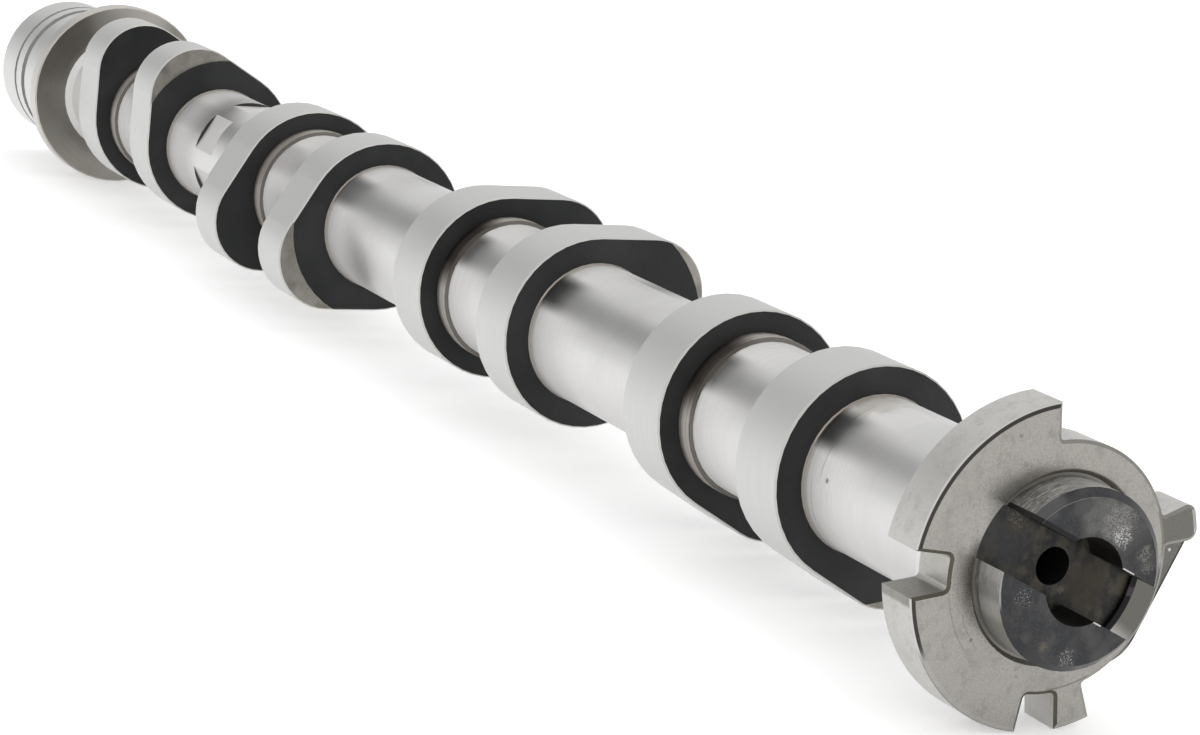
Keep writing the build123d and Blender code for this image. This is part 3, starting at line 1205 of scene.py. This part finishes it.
@dataclass
class TriggerWheel(Piece):
    """The sintered wheel's node."""

    node: str = "trigger_wheel"
    tooth_slope: float = 0.933
    slope_slack: float = 0.02
    edge_slope: float = 0.1
    edge_reach: float = 1.0 * MM
    bore_slack: float = 0.6 * MM

    def zone_of(self, centre: Vector, normal: Vector) -> Zone:
        """Finds the zone of a face of the wheel.

        Args:
            centre: The face's centre.
            normal: The way it faces.

        Returns:
            Its zone.
        """
        z = self.sizes
        x, reach, endwise = centre.x, math.hypot(centre.y, centre.z), abs(normal.x)
        inward = centre.y * normal.y + centre.z * normal.z < 0
        if inward and reach < z.wheel_bore / 2 + self.bore_slack:
            return Zone.WHEEL_BORE
        if endwise > self.facing:
            on_web = z.wheel_back + self.hair < x < z.wheel_front - self.hair
            return Zone.SHADED_WEB if on_web else Zone.WHEEL_FACE
        if endwise > self.edge_slope:
            on_teeth = reach > z.wheel / 2 - z.wheel_front_edge and x > z.wheel_front - self.edge_reach
            sloped = abs(endwise - self.tooth_slope) < self.slope_slack
            return Zone.TOOTH_EDGE if on_teeth and sloped else Zone.GAP_EDGE
        return Zone.WHEEL_RIM


@dataclass(frozen=True)
class Lamp:
    """A square lamp that points at the middle of the shaft."""

    name: str
    place: tuple[float, float, float]
    size: float
    power: float
    aim: tuple[float, float, float] = (0.17, 0.0, 0.0)

    def build(self) -> None:
        """Adds the lamp to the scene."""
        data = bpy.data.lights.new(self.name, "AREA")
        data.size = self.size
        data.energy = self.power
        made = bpy.data.objects.new(self.name, data)
        made.location = self.place
        sight = Vector(self.aim) - Vector(self.place)
        made.rotation_euler = sight.to_track_quat("-Z", "Y").to_euler()
        bpy.context.collection.objects.link(made)


@dataclass(frozen=True)
class Studio:
    """Camera, floor, world and lamps."""

    camera_place: tuple[float, float, float] = (0.66616, -0.23385, 0.10046)
    camera_turn: tuple[float, float, float] = (77.7674, -6.4091, 62.7571)
    lens: float = 94.993
    sensor: float = 36.0
    clip_end: float = 100.0
    flange_foot: tuple[float, float] = (2.0 * MM, -19.4 * MM)
    wheel_foot: tuple[float, float] = (358.0 * MM, -21.45 * MM)
    floor_size: float = 30.0
    floor_sides: int = 96
    floor_gap: float = 0.02 * MM
    floor_colour: Colour = (0.93, 0.93, 0.93)
    floor_roughness: float = 0.9
    floor_glow: float = 0.32
    dome_level: float = 0.86
    flag_level: float = 0.27
    flag_side: tuple[float, float, float] = (-0.858, -0.317, 0.403)
    flag_inner: float = 5.0
    flag_outer: float = 17.0
    lamps: tuple[Lamp, ...] = (
        Lamp("top_lamp", (0.1, 0.3, 1.6), 1.4, 3.5),
        Lamp("front_lamp", (0.9, -1.2, 0.9), 0.9, 1.2),
    )

    def camera(self) -> None:
        """Makes the camera."""
        data = bpy.data.cameras.new("camera")
        data.lens = self.lens
        data.sensor_width = self.sensor
        data.clip_end = self.clip_end
        made = bpy.data.objects.new("camera", data)
        made.location = self.camera_place
        made.rotation_euler = [math.radians(angle) for angle in self.camera_turn]
        bpy.context.collection.objects.link(made)
        bpy.context.scene.camera = made

    def floor(self) -> None:
        """Makes the floor that the flange and the wheel stand on."""
        bpy.ops.object.select_all(action="DESELECT")
        (x0, z0), (x1, z1) = self.flange_foot, self.wheel_foot
        slope = math.atan2(z1 - z0, x1 - x0)
        bpy.ops.mesh.primitive_circle_add(
            vertices=self.floor_sides,
            radius=self.floor_size,
            fill_type="NGON",
            location=((x0 + x1) / 2, 0, (z0 + z1) / 2 - self.floor_gap),
            rotation=(0, -slope, 0),
        )
        floor = bpy.context.object
        floor.name = "floor"
        s = Shader("floor_paper")
        s.finish(self.floor_colour, self.floor_roughness, 0.0)
        paths = s.node("ShaderNodeLightPath").outputs
        paper = s.surface.outputs[0]
        glow = s.light("ShaderNodeEmission", self.floor_glow)
        glowing = s.feed(s.node("ShaderNodeAddShader"), paper, glow)
        seen = s.math("MAXIMUM", paths["Is Camera Ray"], paths["Is Glossy Ray"])
        shown = s.mixed(seen, paper, glowing)
        s.join(shown, s.tree.nodes["Material Output"].inputs["Surface"])
        floor.data.materials.append(s.material)

    def world(self) -> None:
        """Makes the world: white to the camera, and to the object an even dome with one dark flag."""
        world = bpy.data.worlds.new("studio")
        bpy.context.scene.world = world
        world.use_nodes = True
        sky = Nodes(world.node_tree)
        sky.tree.nodes.clear()
        lean = sky.node("ShaderNodeVectorMath", operation="DOT_PRODUCT")
        sky.join(sky.node("ShaderNodeTexCoord").outputs["Generated"], lean.inputs[0])
        sky.join(Vector(self.flag_side).normalized(), lean.inputs[1])
        outer = math.cos(math.radians(self.flag_outer))
        inner = math.cos(math.radians(self.flag_inner))
        level = sky.span(lean.outputs["Value"], outer, inner, self.dome_level, self.flag_level)
        shown = sky.mixed(
            sky.node("ShaderNodeLightPath").outputs["Is Camera Ray"],
            sky.light("ShaderNodeBackground", level),
            sky.light("ShaderNodeBackground", 1.0),
        )
        sky.join(shown, sky.node("ShaderNodeOutputWorld").inputs["Surface"])

    def build(self) -> None:
        """Sets up the whole studio."""
        self.camera()
        self.floor()
        self.world()
        for lamp in self.lamps:
            lamp.build()
        bpy.context.scene.view_settings.view_transform = "Standard"


def main() -> None:
    """Loads the frame, dresses it and sets up the studio."""
    logging.basicConfig(level=logging.INFO, format="%(message)s", stream=sys.stdout)
    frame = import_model()
    shades = {zone: finish.material() for zone, finish in FINISHES.items()}
    for piece in (Camshaft(), TriggerWheel()):
        piece.dress(frame["nodes"][piece.node], shades)
    Studio().build()


if __name__ == "__main__":
    main()
